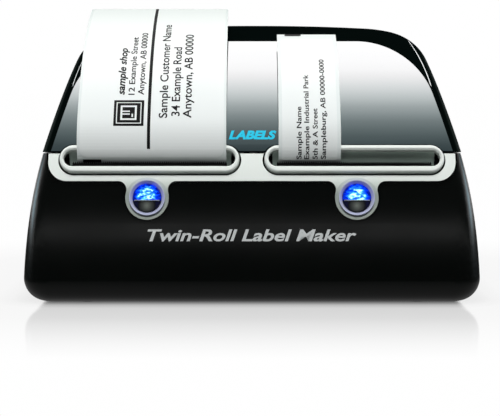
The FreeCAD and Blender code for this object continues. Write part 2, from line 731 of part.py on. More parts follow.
def spool_guide(name):
    side = SIDES[name]
    outer = max(abs(x) for x in STRIP_SPAN[name])
    start = outer + 0.3
    disc = cyl_x(side * start, side * (start + FLANGE_T), ROLL_Y, ROLL_Z, FLANGE_R)
    hub = cyl_x(side * start, side * (start + 6.0), ROLL_Y, ROLL_Z, GUIDE_HUB_R)
    guide = join([disc, hub])
    return guide.cut(cyl_x(side * (start - 1), side * (start + 8), ROLL_Y, ROLL_Z,
                           SPINDLE_R + RUN_GAP))


# ---------------- feed units ----------------
def at_nip(shape):
    """Place a shape drawn about the nip: +Y towards the platen, +Z up the web."""
    y, z = nip_point()
    return lean_to(shape, y, z, WEB_LEAN)


def nip_to_world(depth, along):
    point = Part.Vertex(V(0, depth, along))
    placed = at_nip(point)
    return placed.Vertexes[0].Point.y, placed.Vertexes[0].Point.z


def platen_axis():
    return nip_to_world(PLATEN_R + 0.3, 0.0)


def step_away(axis, distance, heading):
    angle = math.radians(heading)
    return axis[0] + distance * math.cos(angle), axis[1] + distance * math.sin(angle)


def idler_axis():
    distance = MODULE * (PLATEN_TEETH + IDLER_TEETH) / 2 + MESH_SLACK
    return step_away(platen_axis(), distance, IDLER_DIRECTION)


def pinion_axis():
    distance = MODULE * (IDLER_TEETH + PINION_TEETH) / 2 + MESH_SLACK
    return step_away(idler_axis(), distance, PINION_DIRECTION)


def x_span(side, x0, x1):
    return side * x0, side * x1


def platen_shaft(side):
    y, z = platen_axis()
    return cyl_x(side * 3.9, side * (GEAR_X[1] + 0.6), y, z, PLATEN_SHAFT_R)


def platen_rubber(side):
    y, z = platen_axis()
    a, b = x_span(side, 8.5, 88.5)
    return cyl_x(a, b, y, z, PLATEN_R).cut(cyl_x(a, b, y, z, PLATEN_SHAFT_R))


def platen_bushes():
    y, z = platen_axis()
    bushes = []
    for side in SIDES.values():
        for x0, x1 in PLATE_X:
            a, b = x_span(side, x0 - 0.4, x1 + 0.4)
            bushes.append(cyl_x(a, b, y, z, 4.5).cut(cyl_x(a, b, y, z, PLATEN_SHAFT_R + RUN_GAP)))
    return Part.makeCompound(bushes)


def gear(side, teeth, axis, tooth_angle, bore):
    """Spur gear with involute flanks; tooth_angle is the direction of one tooth, in degrees."""
    pitch_r = MODULE * teeth / 2
    base_r = pitch_r * math.cos(math.radians(PRESSURE_ANGLE))
    tip_r = pitch_r + 0.85 * MODULE
    root_r = pitch_r - 1.15 * MODULE
    pressure = math.radians(PRESSURE_ANGLE)
    half_tooth = math.pi / (2 * teeth) - 0.04 / pitch_r

    def flank_angle(radius):
        if radius <= base_r:
            spread = 0.0
        else:
            alpha = math.acos(base_r / radius)
            spread = math.tan(alpha) - alpha
        return half_tooth + math.tan(pressure) - pressure - spread

    start_r = max(root_r, base_r)
    steps = 4
    flank = [(root_r, flank_angle(start_r))] if root_r < base_r - 0.01 else []
    for k in range(steps):
        radius = start_r + (tip_r - start_r) * k / (steps - 1)
        flank.append((radius, flank_angle(radius)))
    points = []
    for tooth in range(teeth):
        middle = math.radians(tooth_angle) + 2 * math.pi * tooth / teeth
        for radius, angle in flank:
            points.append((radius, middle - angle))
        for radius, angle in reversed(flank):
            points.append((radius, middle + angle))
    x0, x1 = sorted((side * GEAR_X[0], side * GEAR_X[1]))
    corners = [V(x0, axis[0] + r * math.cos(a), axis[1] + r * math.sin(a)) for r, a in points]
    wheel = Part.Face(Part.makePolygon(corners + corners[:1])).extrude(V(x1 - x0, 0, 0))
    return wheel.cut(cyl_x(x0 - 1, x1 + 1, axis[0], axis[1], bore))


def direction(a, b):
    return math.degrees(math.atan2(b[1] - a[1], b[0] - a[0]))


def meshing_angle(lead_axis, lead_teeth, lead_angle, axis, teeth):
    """Direction of one tooth of a gear so that it meshes with a leading gear."""
    toward = direction(lead_axis, axis)
    offset = (toward - lead_angle) % (360.0 / lead_teeth)
    return toward + 180 + offset * lead_teeth / teeth + 180.0 / teeth


def gear_train(side):
    platen, idler, pinion = platen_axis(), idler_axis(), pinion_axis()
    first = direction(platen, idler)
    second = meshing_angle(platen, PLATEN_TEETH, first, idler, IDLER_TEETH)
    third = meshing_angle(idler, IDLER_TEETH, second, pinion, PINION_TEETH)
    platen_gear = gear(side, PLATEN_TEETH, platen, first, PLATEN_SHAFT_R)
    idler_gear = gear(side, IDLER_TEETH, idler, second, 2.0 + RUN_GAP)
    pinion_gear = gear(side, PINION_TEETH, pinion, third, 1.0)
    shaft = cyl_x(side * 84.0, side * (GEAR_X[1] + 0.6), pinion[0], pinion[1], 1.0)
    return platen_gear, idler_gear, join([pinion_gear, shaft])


def feed_motor(side):
    y, z = pinion_axis()
    can = cyl_x(side * 66.0, side * 90.5, y, z, MOTOR_R)
    can = can.cut(cyl_x(side * 83.0, side * 95.0, y, z, 1.0 + RUN_GAP))
    lug = side_box(side, 62.5, 66.0, y - 4, y + 4, z - 6, z + 6)
    return can.fuse(lug)


def mech_frame(side):
    """Two side plates joined by a bent front bar that carries the head springs."""
    pieces = []
    platen = platen_axis()
    hinge = nip_to_world(*HEAD_PIVOT)
    for index, (x0, x1) in enumerate(PLATE_X):
        plate = at_nip(box(-FAR, FAR, -13, 14, -19, 5))
        plate = plate.common(box(-FAR, FAR, -79, -42.5, 10, 65))
        if index == 1:
            plate = plate.fuse(box(-FAR, FAR, -66, -42.5, 13, 48))
        a, b = sorted(x_span(side, x0, x1))
        plate = plate.common(box(a, b, -FAR, FAR, 0, FAR))
        plate = plate.cut(cyl_x(a - 1, b + 1, platen[0], platen[1], 4.5))
        plate = plate.cut(cyl_x(a - 1, b + 1, hinge[0], hinge[1], 1.5 + RUN_GAP))
        if index == 1:
            idler, pinion = idler_axis(), pinion_axis()
            plate = plate.cut(cyl_x(a - 1, b + 1, pinion[0], pinion[1], 5.0))
            plate = plate.fuse(cyl_x(side * x0, side * (GEAR_X[1] + 0.4), idler[0], idler[1], 2.0))
        else:
            plate = plate.fuse(cyl_x(side * x0, side * 1.1, LEVER_PIVOT[0], LEVER_PIVOT[1], 2.0))
        pieces.append(plate)
    low, high = sorted(x_span(side, PLATE_X[0][1] - 0.5, PLATE_X[1][0] + 0.5))
    pieces.append(at_nip(box(low, high, -12.6, -11.4, -6, 4)))
    return join(pieces)


def head_carrier(side):
    low, high = sorted(x_span(side, 8.0, 89.0))
    depth, along = HEAD_PIVOT
    plate = box(low, high, -4.2, -1.2, along, 6)
    barrel = Part.makeCylinder(2.6, high - low, V(low, depth, along), V(1, 0, 0))
    first, last = sorted(x_span(side, PLATE_X[0][0], PLATE_X[1][1]))
    rod = Part.makeCylinder(1.5, last - first, V(first, depth, along), V(1, 0, 0))
    return at_nip(join([plate, barrel, rod]))


def print_head(side):
    low, high = sorted(x_span(side, 10.0, 87.0))
    slab = box(low, high, -1.2, -0.35, -4.5, 4.5)
    return at_nip(slab)


def head_springs():
    springs = []
    for side in SIDES.values():
        for x in (side * SPRING_X[0], side * SPRING_X[1]):
            helix = Part.makeHelix(1.3, 6.4, 2.2)
            wire = Part.Wire(helix.Edges)
            section = Part.Wire(Part.makeCircle(0.28, V(2.2, 0, 0), V(0, 1, 0.094)))
            coil = wire.makePipeShell([section], True, True)
            coil.rotate(V(0, 0, 0), V(1, 0, 0), 90)
            coil.translate(V(x, -4.55, 0))
            springs.append(at_nip(coil))
    return Part.makeCompound(springs)


def release_lever(side):
    y, z = LEVER_PIVOT
    x0, x1 = LEVER_X
    a, b = x_span(side, x0, x1)
    eye = cyl_x(a, b, y, z, 4.5)
    arm = side_box(side, x0, x1, -2.2, 2.2, 0, LEVER_L)
    arm.rotate(V(0, 0, 0), V(1, 0, 0), -LEVER_LEAN)
    arm.translate(V(0, y, z))
    tip_y = y + LEVER_L * math.sin(math.radians(LEVER_LEAN))
    tip_z = z + LEVER_L * math.cos(math.radians(LEVER_LEAN))
    knob = cyl_x(a, b, tip_y, tip_z, 4.2)
    lever = join([eye, arm, knob])
    return lever.cut(cyl_x(a - 2 * side, b + 2 * side, y, z, 2.0 + RUN_GAP))


# ---------------- electronics ----------------
def main_board():
    board = box(-60, 60, 55, 85.6, PORT_Z - 1.6, PORT_Z)
    parts = [box(-46, -34, 62, 74, PORT_Z, PORT_Z + 1.6), box(20, 29, 60, 69, PORT_Z, PORT_Z + 1.6),
             cyl_z(38, 64, PORT_Z, PORT_Z + 11, 4.0), cyl_z(48, 64, PORT_Z, PORT_Z + 11, 4.0)]
    return join([board] + parts)


def usb_socket():
    shell = box(USB_X - 6.0, USB_X + 6.0, 73.5, 89.6, PORT_Z, PORT_Z + SOCKET_H)
    mouth = box(USB_X - 4.3, USB_X + 4.3, 79.0, 95, PORT_Z + 1.6, PORT_Z + 9.4)
    tongue = box(USB_X - 2.8, USB_X + 2.8, 78.0, 87.6, PORT_Z + 6.6, PORT_Z + 9.0)
    return shell.cut(mouth).fuse(tongue).removeSplitter()


def power_socket():
    z = PORT_Z + SOCKET_H / 2
    body = box(POWER_X - 5.0, POWER_X + 5.0, 75.0, 86.5, PORT_Z, PORT_Z + SOCKET_H)
    nose = cyl_y(POWER_X, z, 86.4, 89.6, 5.0)
    bore = cyl_y(POWER_X, z, 78.5, 95, 3.2)
    pin = cyl_y(POWER_X, z, 78.0, 88.5, 1.0)
    return join([body, nose]).cut(bore).fuse(pin).removeSplitter()


# ---------------- cover ----------------
def panel_prism(grow):
    """Arched front outline of the glossy panel, grown outwards by grow."""
    face = arch_face(COVER_LOW - 4, PANEL_TOP + grow, PANEL_MARGIN - grow,
                     PANEL_CORNER_R + grow, -FAR / 2)
    return face.extrude(V(0, FAR / 2 + COVER_TOP_Y, 0))


def cover_layer(depth):
    return cover_block(0.0, COVER_LOW).cut(cover_block(depth, COVER_LOW - 5))


def cover_shell():
    cover = cover_layer(COVER_WALL)
    cover = cover.cut(cover_layer(PANEL_T).common(panel_prism(0.25)))
    for side in SIDES.values():
        cover = cover.cut(on_slot(slot_hole(RING_GAP), side))
        for x0, x1, owner in KNUCKLES:
            low, high = sorted((side * x0, side * x1))
            if owner == "base":
                cover = cover.cut(cyl_x(low - 0.4, high + 0.4, HINGE_Y, HINGE_Z, KNUCKLE_R + 0.4))
                continue
            tab = box(low, high, 84.4, HINGE_Y, COVER_LOW - 0.2, COVER_LOW + 2.4)
            barrel = cyl_x(low, high, HINGE_Y, HINGE_Z, KNUCKLE_R)
            cover = cover.fuse(tab.fuse(barrel))
            cover = cover.cut(cyl_x(low - 1, high + 1, HINGE_Y, HINGE_Z, HINGE_PIN_R + RUN_GAP))
    return cover.removeSplitter()


def cover_panel():
    panel = cover_layer(PANEL_T).common(panel_prism(0.0))
    for side in SIDES.values():
        panel = panel.cut(on_slot(slot_hole(RING_GAP + 0.3), side))
    return panel.cut(box(-FAR / 2, FAR / 2, -FAR / 2, FAR / 2, 0, COVER_LOW + 0.6))


def main():
    outer = body_block(0.0)
    save("base_housing", base_housing(outer))
    save("bottom_plate", bottom_plate())
    save("rubber_feet", rubber_feet())
    save("housing_screws", housing_screws())
    save("hinge_pins", hinge_pins())
    save("front_bezel", front_bezel(outer))
    save("roll_tray", roll_tray())
    save("inner_deck", inner_deck())
    save("button_boards", button_boards())
    save("tact_switches", tact_switches())
    save("platen_bushes", platen_bushes())
    save("head_springs", head_springs())
    save("main_board", main_board())
    save("usb_socket", usb_socket())
    save("power_socket", power_socket())
    save("cover_shell", cover_shell())
    save("cover_panel", cover_panel())
    for name, side in SIDES.items():
        save("slot_ring_" + name, slot_ring(side))
        save("tear_bar_" + name, tear_bar(side))
        save("exit_chute_" + name, exit_chute(side))
        save("button_ring_" + name, button_ring(side))
        save("button_cap_" + name, button_cap(side))
        save("button_lens_" + name, button_lens(side))
        save("mech_frame_" + name, mech_frame(side))
        save("feed_motor_" + name, feed_motor(side))
        platen_gear, idler_gear, motor_pinion = gear_train(side)
        save("platen_gear_" + name, platen_gear)
        save("idler_gear_" + name, idler_gear)
        save("motor_pinion_" + name, motor_pinion)
        save("platen_shaft_" + name, platen_shaft(side))
        save("platen_rubber_" + name, platen_rubber(side))
        save("head_carrier_" + name, head_carrier(side))
        save("print_head_" + name, print_head(side))
        save("release_lever_" + name, release_lever(side))
        save("spool_spindle_" + name, spool_spindle(name))
        save("label_roll_" + name, label_roll(name))
        save("spool_guide_" + name, spool_guide(name))
        save("label_liner_" + name, label_liner(name))
        save("label_sticker_" + name, label_sticker(name))


main()
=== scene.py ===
import json
import math

import bmesh
import bpy
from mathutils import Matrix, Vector
from mathutils.bvhtree import BVHTree


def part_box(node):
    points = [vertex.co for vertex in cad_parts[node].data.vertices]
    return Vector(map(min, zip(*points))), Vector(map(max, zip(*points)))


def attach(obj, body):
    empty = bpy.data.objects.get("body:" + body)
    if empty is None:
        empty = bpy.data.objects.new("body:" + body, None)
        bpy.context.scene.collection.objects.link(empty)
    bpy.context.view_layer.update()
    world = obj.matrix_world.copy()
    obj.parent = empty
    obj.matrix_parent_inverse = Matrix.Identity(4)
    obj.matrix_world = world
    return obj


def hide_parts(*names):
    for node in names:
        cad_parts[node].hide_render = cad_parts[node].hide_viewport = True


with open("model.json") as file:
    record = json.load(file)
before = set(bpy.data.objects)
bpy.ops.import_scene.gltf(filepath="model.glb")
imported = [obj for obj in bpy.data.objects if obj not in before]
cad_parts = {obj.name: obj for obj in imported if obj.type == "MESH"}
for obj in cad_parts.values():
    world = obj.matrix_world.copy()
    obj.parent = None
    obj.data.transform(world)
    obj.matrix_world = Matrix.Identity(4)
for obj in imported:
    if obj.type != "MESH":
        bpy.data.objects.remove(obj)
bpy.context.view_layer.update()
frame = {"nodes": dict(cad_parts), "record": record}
NODES = frame["nodes"]
RECORD = frame["record"]
SIDES = {"left": -1, "right": 1}
MM = 0.001

# ---- camera and studio ----
CAMERA_AT = (-0.9 * MM, -730.1 * MM, 103.2 * MM)
CAMERA_PITCH = math.radians(5.0)
LENS = 98.5                                # focal length for a 36 mm wide sensor
FLOOR_SIZE = 60.0
FLOOR_FADE = 150 * MM                      # the mirror image fades out over this distance
FOOTPRINT = (97 * MM, 62 * MM)             # half sizes of the patch that the fade starts from
SUN_HEIGHT = math.radians(50.0)
SUN_POWER = 3.05

# ---- feed buttons: middle of each one, across and up (metres) ----
BUTTON_X = 49.3 * MM
BUTTON_Z = 52.0 * MM
BUTTON_LINE_HALF = 5.9 * MM                # half the length of the pale bar across a button
BUTTON_LINE_DROP = 1.35 * MM               # the bar lies this far below the button's middle
BUTTON_LINE_LIFT = 0.75 * MM               # and this far in front of the base's curve
BUTTON_LINE_R = 0.26 * MM

# ---- front of the base, seen from the side: one arc ----
FACE_R = 158.9 * MM
FACE_Y = 64.9 * MM
FACE_Z = 14.0 * MM

# ---- front of the cover, seen from the side: one arc ----
COVER_R = 100.5 * MM
COVER_Y = 10.84 * MM
COVER_Z = 36.1 * MM

# ---- outer face of the label strips, seen from the side: three arcs ----
PAPER_OUT = 0.245 * MM                     # sticker face in front of the strip's middle line
SLOT_TURN = (-82.2 * MM, 68.7 * MM)
SLOT_LEAN = math.radians(-43.3)
LOWER_BEND_R = 10.0 * MM
MIDDLE_BEND_R = 28.0 * MM
MIDDLE_LEAN = math.radians(30.0)
UPPER_BEND = {"left": (120.5 * MM, math.radians(72.0)), "right": (102.0 * MM, math.radians(63.7))}

INK = 0.05 * MM                            # print stands this far off its surface
STICKER_T = 0.12 * MM
CORNER_STEPS = 6                           # rows of points in a sticker's rounded corner
STICKER_COLUMNS = 8
STICKER_STEP = 1.6 * MM                    # space between the rows of points along a strip
LAYER_STEP = 0.6 * MM                      # space between the rings drawn on a roll's flat ends
FONT_CAP = 0.73                            # cap height of the built-in lettering at size 1
MARK_Z = 32.0 * MM                         # baseline of the lettering on the base
MARK_SIZE = (98.0 * MM, 5.6 * MM)          # its width and cap height
PANEL_MARK_Z = 79.3 * MM                   # baseline of the lettering on the panel
PANEL_MARK_SIZE = (22.6 * MM, 4.3 * MM)
PANEL_MARK_X = 0.3 * MM                    # its middle, across
BAND = 1.0 * MM                            # flat print is cut into bands this wide before it is bent

# ---- lines of print: text, baseline, start, length and cap height (mm), slant, boldness ----
LEFT_LINES = [("sample shop", -60.9, 34.9, 31.4, 3.6, 0.25, 0.028),
              ("12 Example Street", -56.1, 34.9, 40.7, 3.0, 0.0, 0.014),
              ("Anytown, AB 00000", -51.6, 34.9, 44.7, 3.0, 0.0, 0.014),
              ("Sample Customer Name", -40.2, 22.0, 66.0, 4.1, 0.0, 0.014),
              ("34 Example Road", -34.3, 23.0, 44.0, 4.1, 0.0, 0.014),
              ("Anytown, AB 00000", -28.8, 22.0, 56.0, 4.1, 0.0, 0.014)]
RIGHT_LINES = [("Sample Name", 23.4, 1.7, 26.5, 2.4, 0.0, 0.018),
               ("Example Industrial Park", 27.0, 1.7, 46.0, 2.4, 0.0, 0.018),
               ("5th & A Street", 31.0, 1.7, 25.5, 2.4, 0.0, 0.018),
               ("Sampleburg, AB 00000-0000", 34.9, 1.7, 57.0, 2.4, 0.0, 0.018)]

# ---- seams of the cover, drawn as beads with a painted highlight: x and z of both ends, and the bow between them ----
SEAM_HIGH = (79.0 * MM, 127.9 * MM)
SEAM_LOW = (87.1 * MM, 103.8 * MM)
SEAM_BOW = 0.9 * MM
SEAM_R = 0.22 * MM
SEAM_LIFT = 0.02 * MM                      # the bead's middle stands this far in front of the cover
SEAM_STEPS = 24

# ---- what a mirror sees overhead: degrees from the front horizon, brightness ----
LOW_STRIP = [(0.0, 0.03), (6.5, 0.03), (10, 1.0), (12.5, 0.40), (15.5, 0.03)]
SOFTBOX = [(36, 0.04), (45, 0.12), (50, 0.175), (55, 0.245), (60, 0.335), (65, 0.45), (70, 0.605),
           (75, 0.81), (80, 0.995), (90, 1.29), (99, 1.50), (107, 1.56), (131, 1.60), (133, 0.03)]
REAR_WALL = [(161, 0.03), (167, 1.0), (180, 1.0)]
BRIGHTEST = 2.0                            # the levels are divided by this inside the colour ramp


# ------------------------------------------------------------------ node helpers
class Graph:
    """A small wrapper that adds and links shader nodes."""

    def __init__(self, tree):
        self.tree = tree
        self.tree.nodes.clear()

    def add(self, kind, **settings):
        node = self.tree.nodes.new(kind)
        for key, value in settings.items():
            setattr(node, key, value)
        return node

    def link(self, source, target):
        self.tree.links.new(source, target)

    def math(self, operation, *values):
        node = self.add("ShaderNodeMath", operation=operation)
        for index, value in enumerate(values):
            if isinstance(value, (int, float)):
                node.inputs[index].default_value = value
            else:
                self.link(value, node.inputs[index])
        return node.outputs[0]

    def distance(self, first, second):
        """Length of the vector whose two components are given."""
        squares = [self.math("MULTIPLY", value, value) for value in (first, second)]
        return self.math("SQRT", self.math("ADD", *squares))

    def ramp(self, value, stops):
        node = self.add("ShaderNodeValToRGB")
        elements = node.color_ramp.elements
        while len(elements) < len(stops):
            elements.new(0.5)
        for element, (place, colour) in zip(elements, stops):
            element.position = place
            if isinstance(colour, (int, float)):
                colour = (colour, colour, colour)
            element.color = (*colour, 1.0)
        self.link(value, node.inputs[0])
        return node.outputs[0]

    def coordinates(self, scale=(1, 1, 1)):
        source = self.add("ShaderNodeTexCoord")
        mapping = self.add("ShaderNodeMapping")
        mapping.inputs["Scale"].default_value = scale
        self.link(source.outputs["Object"], mapping.inputs["Vector"])
        return mapping.outputs["Vector"]

    def axes(self):
        """Object-space x, y and z as three outputs."""
        source = self.add("ShaderNodeTexCoord")
        split = self.add("ShaderNodeSeparateXYZ")
        self.link(source.outputs["Object"], split.inputs[0])
        return split.outputs

    def noise(self, vector, scale, detail=3.0, roughness=0.5):
        node = self.add("ShaderNodeTexNoise")
        node.inputs["Scale"].default_value = scale
        node.inputs["Detail"].default_value = detail
        node.inputs["Roughness"].default_value = roughness
        self.link(vector, node.inputs["Vector"])
        return node.outputs["Fac"]

    def mix(self, factor, first, second, blend="MIX"):
        node = self.add("ShaderNodeMix", data_type="RGBA", blend_type=blend)
        for index, value in ((0, factor), (6, first), (7, second)):
            if isinstance(value, (int, float)):
                node.inputs[index].default_value = value
            elif isinstance(value, tuple):
                node.inputs[index].default_value = (*value, 1.0)
            else:
                self.link(value, node.inputs[index])
        return node.outputs[2]

    def range(self, value, low, high, out_low, out_high):
        node = self.add("ShaderNodeMapRange")
        for index, number in enumerate((low, high, out_low, out_high)):
            node.inputs[index + 1].default_value = number
        self.link(value, node.inputs[0])
        return node.outputs[0]

    def bump(self, height, strength, distance):
        node = self.add("ShaderNodeBump")
        node.inputs["Strength"].default_value = strength
        node.inputs["Distance"].default_value = distance
        self.link(height, node.inputs["Height"])
        return node.outputs[0]

    def glow(self, kind, colour):
        """An emission or background shader of one colour, or of a colour from another node."""
        node = self.add(kind)
        if isinstance(colour, tuple):
            node.inputs[0].default_value = (*colour, 1.0)
        else:
            self.link(colour, node.inputs[0])
        return node.outputs[0]

    def choose(self, factor, first, second):
        """Mix two shaders."""
        node = self.add("ShaderNodeMixShader")
        for index, source in enumerate((factor, first, second)):
            self.link(source, node.inputs[index])
        return node.outputs[0]


def new_material(name, **settings):
    """A material with a Principled shader; settings name its sockets."""
    material = bpy.data.materials.new(name)
    material.use_nodes = True
    graph = Graph(material.node_tree)
    output = graph.add("ShaderNodeOutputMaterial")
    shader = graph.add("ShaderNodeBsdfPrincipled")
    graph.link(shader.outputs[0], output.inputs[0])
    for key, value in settings.items():
        socket = shader.inputs[key.replace("_", " ")]
        socket.default_value = (*value, 1.0) if isinstance(value, tuple) else value
    return material, graph, shader


def textured(name, colour, roughness, spread=0.05, grain=2500.0, depth=0.00002, tint=0.06, **settings):
    """Moulded or cast surface: fine grain, slight unevenness of colour and gloss."""
    material, graph, shader = new_material(name, **settings)
    place = graph.coordinates()
    broad = graph.noise(place, 40.0)
    darker = tuple(c * (1 - tint) for c in colour)
    lighter = tuple(min(1.0, c * (1 + tint)) for c in colour)
    graph.link(graph.mix(broad, darker, lighter), shader.inputs["Base Color"])
    graph.link(graph.range(broad, 0.3, 0.7, roughness - spread, roughness + spread),
               shader.inputs["Roughness"])
    fine = graph.noise(place, grain, detail=2.0)
    graph.link(graph.bump(fine, 0.35, depth), shader.inputs["Normal"])
    return material


# ------------------------------------------------------------------ materials
def casing_material():
    return textured("casing", (0.0012, 0.0018, 0.0015), 0.20, spread=0.02, grain=3000.0, depth=0.000008,
                    Specular_IOR_Level=0.42)


def cover_frame_material():
    """Black moulding of the cover, with a painted sheen that makes its flanks a little paler than its
    front.
    """
    material, graph, shader = new_material("cover_frame", Roughness=0.25, Specular_IOR_Level=0.0)
    source = graph.add("ShaderNodeTexCoord")
    split = graph.add("ShaderNodeSeparateXYZ")
    graph.link(source.outputs["Normal"], split.inputs[0])
    # Painted sheen: surfaces that face sideways get a paler base colour than the front.
    flank_sheen_mask = graph.range(graph.math("ABSOLUTE", split.outputs[0]), 0.45, 0.8, 0.0, 1.0)
    cloud = graph.noise(graph.coordinates(), 60.0)
    front = graph.mix(cloud, (0.0010, 0.0024, 0.0021), (0.0014, 0.0030, 0.0027))
    flank_painted_sheen = graph.mix(cloud, (0.020, 0.027, 0.025), (0.023, 0.030, 0.028))
    graph.link(graph.mix(flank_sheen_mask, front, flank_painted_sheen), shader.inputs["Base Color"])
    return material


def mirror_panel_material():
    """Polished smoked panel: a dark mirror, with painted shade that makes it darker and cooler towards its
    lower edge.
    """
    material, graph, shader = new_material("mirror_panel", Metallic=1.0, Roughness=0.05)
    height = graph.axes()[2]
    cloud = graph.noise(graph.coordinates(), 25.0)
    # Painted shade: the mirror's colour falls and cools from its top down to its lower edge, deepening the
    # fall of its reflection.
    tone = graph.ramp(graph.range(height, 74 * MM, 127 * MM, 0.0, 1.0),
                      [(0.0, (0.36, 0.52, 0.56)), (0.14, (0.46, 0.60, 0.62)), (0.4, (0.56, 0.625, 0.63)),
                       (0.66, (0.62, 0.62, 0.625))])
    graph.link(graph.mix(graph.range(cloud, 0.0, 1.0, 0.0, 0.04), tone, (0.7, 0.7, 0.7)),
               shader.inputs["Base Color"])
    return material


def silver_trim_material():
    """Fine silver paint, smooth and pale, with painted shade that darkens it from above the buttons down
    into the round tabs.
    """
    material, graph, shader = new_material("silver_trim", Metallic=0.15, Roughness=0.36)
    place = graph.coordinates()
    flake = graph.noise(place, 9000.0, detail=1.0)
    paint = graph.mix(flake, (0.78, 0.83, 0.79), (0.85, 0.90, 0.86))
    z = graph.axes()[2]
    # Painted shade: the paint's colour is darkened from above the buttons downwards, standing in for the
    # shade in the dished tabs.
    depth = graph.range(z, BUTTON_Z - 6 * MM, BUTTON_Z + 9 * MM, 0.0, 1.0)
    tone = graph.ramp(depth, [(0.0, (0.38, 0.40, 0.38)), (0.5, (0.42, 0.45, 0.43)),
                              (0.85, (0.80, 0.82, 0.80)), (1.0, (1.0, 1.0, 1.0))])
    graph.link(graph.mix(1.0, paint, tone, "MULTIPLY"), shader.inputs["Base Color"])
    graph.link(graph.bump(flake, 0.12, 0.000008), shader.inputs["Normal"])
    return material


def metal_material(name, colour, roughness, stretch=(1, 1, 1)):
    """Ground, drawn or plated metal: fine lines along one axis."""
    material, graph, shader = new_material(name, Metallic=1.0)
    place = graph.coordinates(stretch)
    lines = graph.noise(place, 2500.0, detail=2.0)
    darker = tuple(c * 0.86 for c in colour)
    graph.link(graph.mix(lines, darker, colour), shader.inputs["Base Color"])
    graph.link(graph.range(lines, 0.3, 0.7, roughness - 0.06, roughness + 0.06), shader.inputs["Roughness"])
    return material


def button_radius(graph, middle_z):
    """Distance from the middle of the nearer button, seen from the front, as a shader value."""
    x, _, z = graph.axes()
    across = graph.math("SUBTRACT", graph.math("ABSOLUTE", x), BUTTON_X)
    rise = graph.math("SUBTRACT", z, middle_z)
    return graph.distance(across, rise)


def lens_material():
    """Translucent blue cap lit from behind: deep blue rim and broken cyan-white glints inside."""
    material, graph, shader = new_material("blue_lens", Roughness=0.06)
    radius = button_radius(graph, BUTTON_Z + 1.0 * MM)
    place = graph.coordinates((1.0, 1.0, 1.9))
    swirl = graph.noise(place, 560.0, detail=3.0, roughness=0.75)
    glints = graph.add("ShaderNodeTexVoronoi", feature="SMOOTH_F1")
    glints.inputs["Scale"].default_value = 560.0
    bent = graph.mix(0.35, place, graph.mix(swirl, (0.0, 0.0, 0.0), (0.01, 0.01, 0.01)), "ADD")
    graph.link(bent, glints.inputs["Vector"])
    cell = graph.math("MULTIPLY", glints.outputs["Distance"], 1.25)
    level = graph.math("ADD", graph.math("MULTIPLY", swirl, 0.75), graph.math("MULTIPLY", cell, 0.55))
    level = graph.math("MULTIPLY", level, graph.range(radius, 3.0 * MM, 6.2 * MM, 1.0, 0.45))
    colour = graph.ramp(level, [(0.30, (0.0, 0.006, 0.20)), (0.48, (0.0, 0.03, 0.72)),
                                (0.60, (0.01, 0.18, 0.95)), (0.70, (0.10, 0.55, 0.90)),
                                (0.80, (0.6, 0.95, 0.95))])
    graph.link(colour, shader.inputs["Base Color"])
    graph.link(colour, shader.inputs["Emission Color"])
    shader.inputs["Emission Strength"].default_value = 0.65
    return material


def button_black_material():
    """Black lower half of a button with a painted soft grey highlight on its rounded middle, darker and
    bluer towards its rim.
    """
    material, graph, shader = new_material("button_black", Roughness=0.25, Specular_IOR_Level=0.3)
    speckle = graph.noise(graph.coordinates(), 1500.0)
    radius = graph.math("ADD", button_radius(graph, BUTTON_Z - 3.6 * MM),
                        graph.math("MULTIPLY", speckle, 0.4 * MM))
    # Painted highlight: paler grey at the middle of the lower half, fading to near black towards the rim.
    colour = graph.ramp(graph.range(radius, 0.0, 5.0 * MM, 0.0, 1.0),
                        [(0.0, (0.13, 0.145, 0.13)), (0.45, (0.045, 0.05, 0.047)),
                         (0.8, (0.006, 0.007, 0.010)), (1.0, (0.004, 0.005, 0.025))])
    graph.link(colour, shader.inputs["Base Color"])
    return material


def paper_material(name, colour, shaded=False):
    """Coated paper: very fine fibre mottling, a soft sheen and, on the strips, painted shade that darkens
    them near the slot and towards their tops.
    """
    material, graph, shader = new_material(name, Roughness=0.55, Specular_IOR_Level=0.2)
    place = graph.coordinates()
    fibre = graph.noise(place, 1800.0, detail=6.0, roughness=0.7)
    darker = tuple(c * 0.97 for c in colour)
    tone = graph.mix(fibre, darker, colour)
    if shaded:
        # Painted shade: colour darkened near the slot and near the strip's top, brightest part way up.
        height = graph.range(graph.axes()[2], 68 * MM, 146 * MM, 0.0, 1.0)
        painted_shade_fall = graph.ramp(height, [(0.0, (0.70, 0.73, 0.73)), (0.10, (0.76, 0.79, 0.79)),
                                   (0.24, (0.84, 0.87, 0.87)), (0.42, (0.90, 0.93, 0.93)),
                                   (0.62, (1.0, 1.0, 1.0)), (0.84, (0.93, 0.95, 0.94)),
                                   (1.0, (0.78, 0.83, 0.81))])
        tone = graph.mix(1.0, tone, painted_shade_fall, "MULTIPLY")
    graph.link(tone, shader.inputs["Base Color"])
    graph.link(graph.bump(fibre, 0.10, 0.00001), shader.inputs["Normal"])
    return material


def roll_material():
    """Label roll: fine wound layers on its flat ends."""
    material, graph, shader = new_material("roll_paper", Roughness=0.6)
    _, y, z = graph.axes()
    lo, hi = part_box("label_roll_left")
    back = graph.math("SUBTRACT", y, (lo[1] + hi[1]) / 2)
    rise = graph.math("SUBTRACT", z, (lo[2] + hi[2]) / 2)
    layer = graph.math("SINE", graph.math("MULTIPLY", graph.distance(back, rise), 2 * math.pi / LAYER_STEP))
    layer = graph.range(layer, -1, 1, 0, 1)
    graph.link(graph.mix(layer, (0.66, 0.67, 0.66), (0.88, 0.88, 0.87)), shader.inputs["Base Color"])
    return material


def rubber_material():
    return textured("rubber_black", (0.012, 0.012, 0.012), 0.75, grain=1500.0, depth=0.00004)


